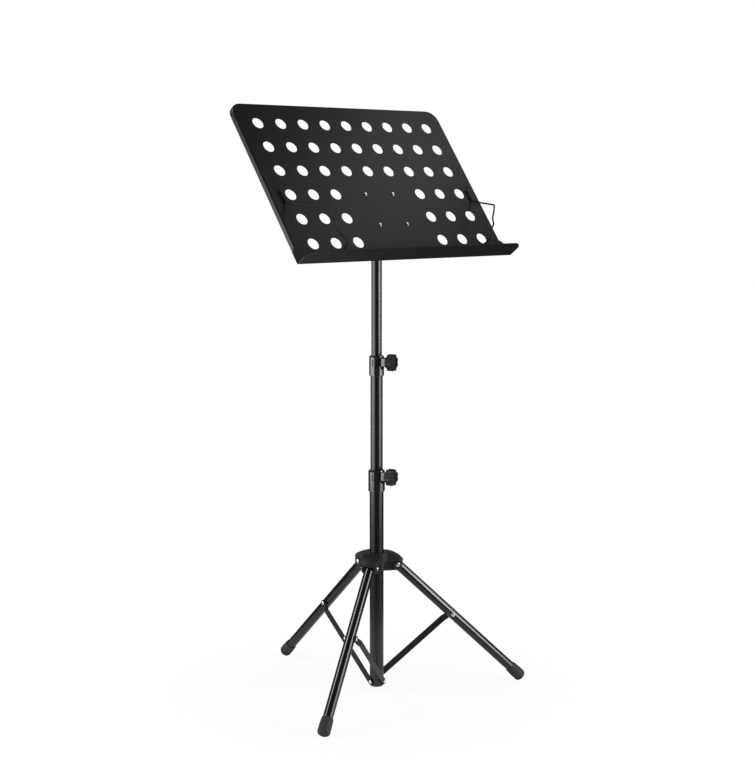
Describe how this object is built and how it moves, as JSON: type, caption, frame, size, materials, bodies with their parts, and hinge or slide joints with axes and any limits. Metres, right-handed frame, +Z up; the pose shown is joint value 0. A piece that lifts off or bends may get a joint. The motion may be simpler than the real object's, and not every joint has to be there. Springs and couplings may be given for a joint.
{
  "type": "music stand",
  "caption": "Folding music stand: a perforated, tilting sheet-metal desk with wire page holders on a telescopic mast over a folding tripod.",
  "frame": {"origin": "on the floor, straight under the mast, on the mast's axis", "axes": "+Z up along the mast; the desk faces -Y; +X to the right of a reader who faces the desk"},
  "size_m": [0.505, 0.4333, 1.0585],
  "materials": {
    "desk_coat": "satin black powder coat",
    "tube_coat": "semi-gloss black enamel",
    "wire_coat": "black coated wire",
    "black_plastic": "fine-grained black",
    "slider_plastic": "smooth dark grey",
    "foot_rubber": "matte",
    "zinc_steel": "zinc plated"
  },
  "bodies": {
    "post": {"lower_tube": "tube_coat", "post_plug": "black_plastic", "post_rivets": "zinc_steel", "lower_collar": "black_plastic"},
    "hub": {"hub": "black_plastic", "hub_rivets": "zinc_steel"},
    "leg_back": {"leg_back": "tube_coat", "foot_back": "foot_rubber", "leg_rivet_back": "zinc_steel"},
    "leg_left": {"leg_left": "tube_coat", "foot_left": "foot_rubber", "leg_rivet_left": "zinc_steel"},
    "leg_right": {"leg_right": "tube_coat", "foot_right": "foot_rubber", "leg_rivet_right": "zinc_steel"},
    "brace_back": {"brace_back": "tube_coat", "brace_rivet_back": "zinc_steel"},
    "brace_left": {"brace_left": "tube_coat", "brace_rivet_left": "zinc_steel"},
    "brace_right": {"brace_right": "tube_coat", "brace_rivet_right": "zinc_steel"},
    "lower_knob": {"lower_knob": "black_plastic", "lower_screw": "zinc_steel"},
    "middle_slider": {"middle_slider": "slider_plastic"},
    "middle_mast": {"middle_tube": "tube_coat", "upper_collar": "black_plastic"},
    "upper_knob": {"upper_knob": "black_plastic", "upper_screw": "zinc_steel"},
    "upper_slider": {"upper_slider": "slider_plastic"},
    "upper_mast": {"upper_tube": "tube_coat", "tilt_head": "black_plastic"},
    "desk": {"desk": "desk_coat", "desk_rivets": "zinc_steel", "tilt_bracket_left": "desk_coat", "tilt_bracket_right": "desk_coat", "tilt_bolt": "zinc_steel", "friction_washers": "slider_plastic", "tilt_washer": "zinc_steel", "holder_clip_left": "wire_coat", "holder_clip_right": "wire_coat"},
    "tilt_knob": {"tilt_knob": "black_plastic"},
    "page_holder_left": {"page_holder_left": "wire_coat"},
    "page_holder_right": {"page_holder_right": "wire_coat"}
  },
  "joints": [
    {"name": "hub_slide", "type": "slide", "parent": "post", "child": "hub", "axis": [0, 0, 1], "range_m": [0, 0.106]},
    {"name": "leg_back_fold", "type": "hinge", "parent": "hub", "child": "leg_back", "pos_m": [0.00064, 0.03649, 0.23473], "axis": [-0.9998, 0.0175, 0], "range_deg": [0, 43.94]},
    {"name": "leg_left_fold", "type": "hinge", "parent": "hub", "child": "leg_left", "pos_m": [-0.03192, -0.0177, 0.23473], "axis": [0.4848, -0.8746, 0], "range_deg": [0, 43.94]},
    {"name": "leg_right_fold", "type": "hinge", "parent": "hub", "child": "leg_right", "pos_m": [0.03129, -0.0188, 0.23473], "axis": [0.515, 0.8572, 0], "range_deg": [0, 43.94]},
    {"name": "brace_back_fold", "type": "hinge", "parent": "post", "child": "brace_back", "pos_m": [-0.01405, 0.00024, 0.0145], "axis": [0.9998, -0.0175, 0], "range_deg": [0, 36.67]},
    {"name": "brace_left_fold", "type": "hinge", "parent": "post", "child": "brace_left", "pos_m": [0.00681, -0.01229, 0.0145], "axis": [-0.4848, 0.8746, 0], "range_deg": [0, 36.67]},
    {"name": "brace_right_fold", "type": "hinge", "parent": "post", "child": "brace_right", "pos_m": [0.00724, 0.01204, 0.0145], "axis": [-0.515, -0.8572, 0], "range_deg": [0, 36.67]},
    {"name": "middle_lift", "type": "slide", "parent": "post", "child": "middle_slider", "axis": [0, 0, 1], "range_m": [-0.16, 0.13]},
    {"name": "middle_turn", "type": "hinge", "parent": "middle_slider", "child": "middle_mast", "pos_m": [0, 0, 0.195], "axis": [0, 0, 1], "continuous": true},
    {"name": "lower_knob_turn", "type": "hinge", "parent": "post", "child": "lower_knob", "pos_m": [0, 0, 0.3977], "axis": [0.2588, -0.9659, 0], "continuous": true},
    {"name": "upper_lift", "type": "slide", "parent": "middle_mast", "child": "upper_slider", "axis": [0, 0, 1], "range_m": [-0.12, 0.11]},
    {"name": "upper_turn", "type": "hinge", "parent": "upper_slider", "child": "upper_mast", "pos_m": [0, 0, 0.428], "axis": [0, 0, 1], "continuous": true},
    {"name": "upper_knob_turn", "type": "hinge", "parent": "middle_mast", "child": "upper_knob", "pos_m": [0, 0, 0.605], "axis": [0.4067, -0.9135, 0], "continuous": true},
    {"name": "desk_tilt", "type": "hinge", "parent": "upper_mast", "child": "desk", "pos_m": [0, 0, 0.859], "axis": [-1, 0, 0], "range_deg": [-36, 54]},
    {"name": "tilt_knob_turn", "type": "hinge", "parent": "desk", "child": "tilt_knob", "pos_m": [0, 0, 0.859], "axis": [1, 0, 0], "continuous": true},
    {"name": "page_holder_left_swing", "type": "hinge", "parent": "desk", "child": "page_holder_left", "pos_m": [-0.221, -0.01081, 0.90146], "axis": [0, -0.5878, -0.809], "range_deg": [-12, 95]},
    {"name": "page_holder_right_swing", "type": "hinge", "parent": "desk", "child": "page_holder_right", "pos_m": [0.221, -0.01081, 0.90146], "axis": [0, 0.5878, 0.809], "range_deg": [-12, 95]}
  ],
  "couplings": [
    {"joint": "leg_back_fold", "follows": "hub_slide", "rad_per_m": 7.2272},
    {"joint": "leg_left_fold", "follows": "hub_slide", "rad_per_m": 7.2272},
    {"joint": "leg_right_fold", "follows": "hub_slide", "rad_per_m": 7.2272},
    {"joint": "brace_back_fold", "follows": "hub_slide", "rad_per_m": 6.0292},
    {"joint": "brace_left_fold", "follows": "hub_slide", "rad_per_m": 6.0292},
    {"joint": "brace_right_fold", "follows": "hub_slide", "rad_per_m": 6.0292}
  ]
}
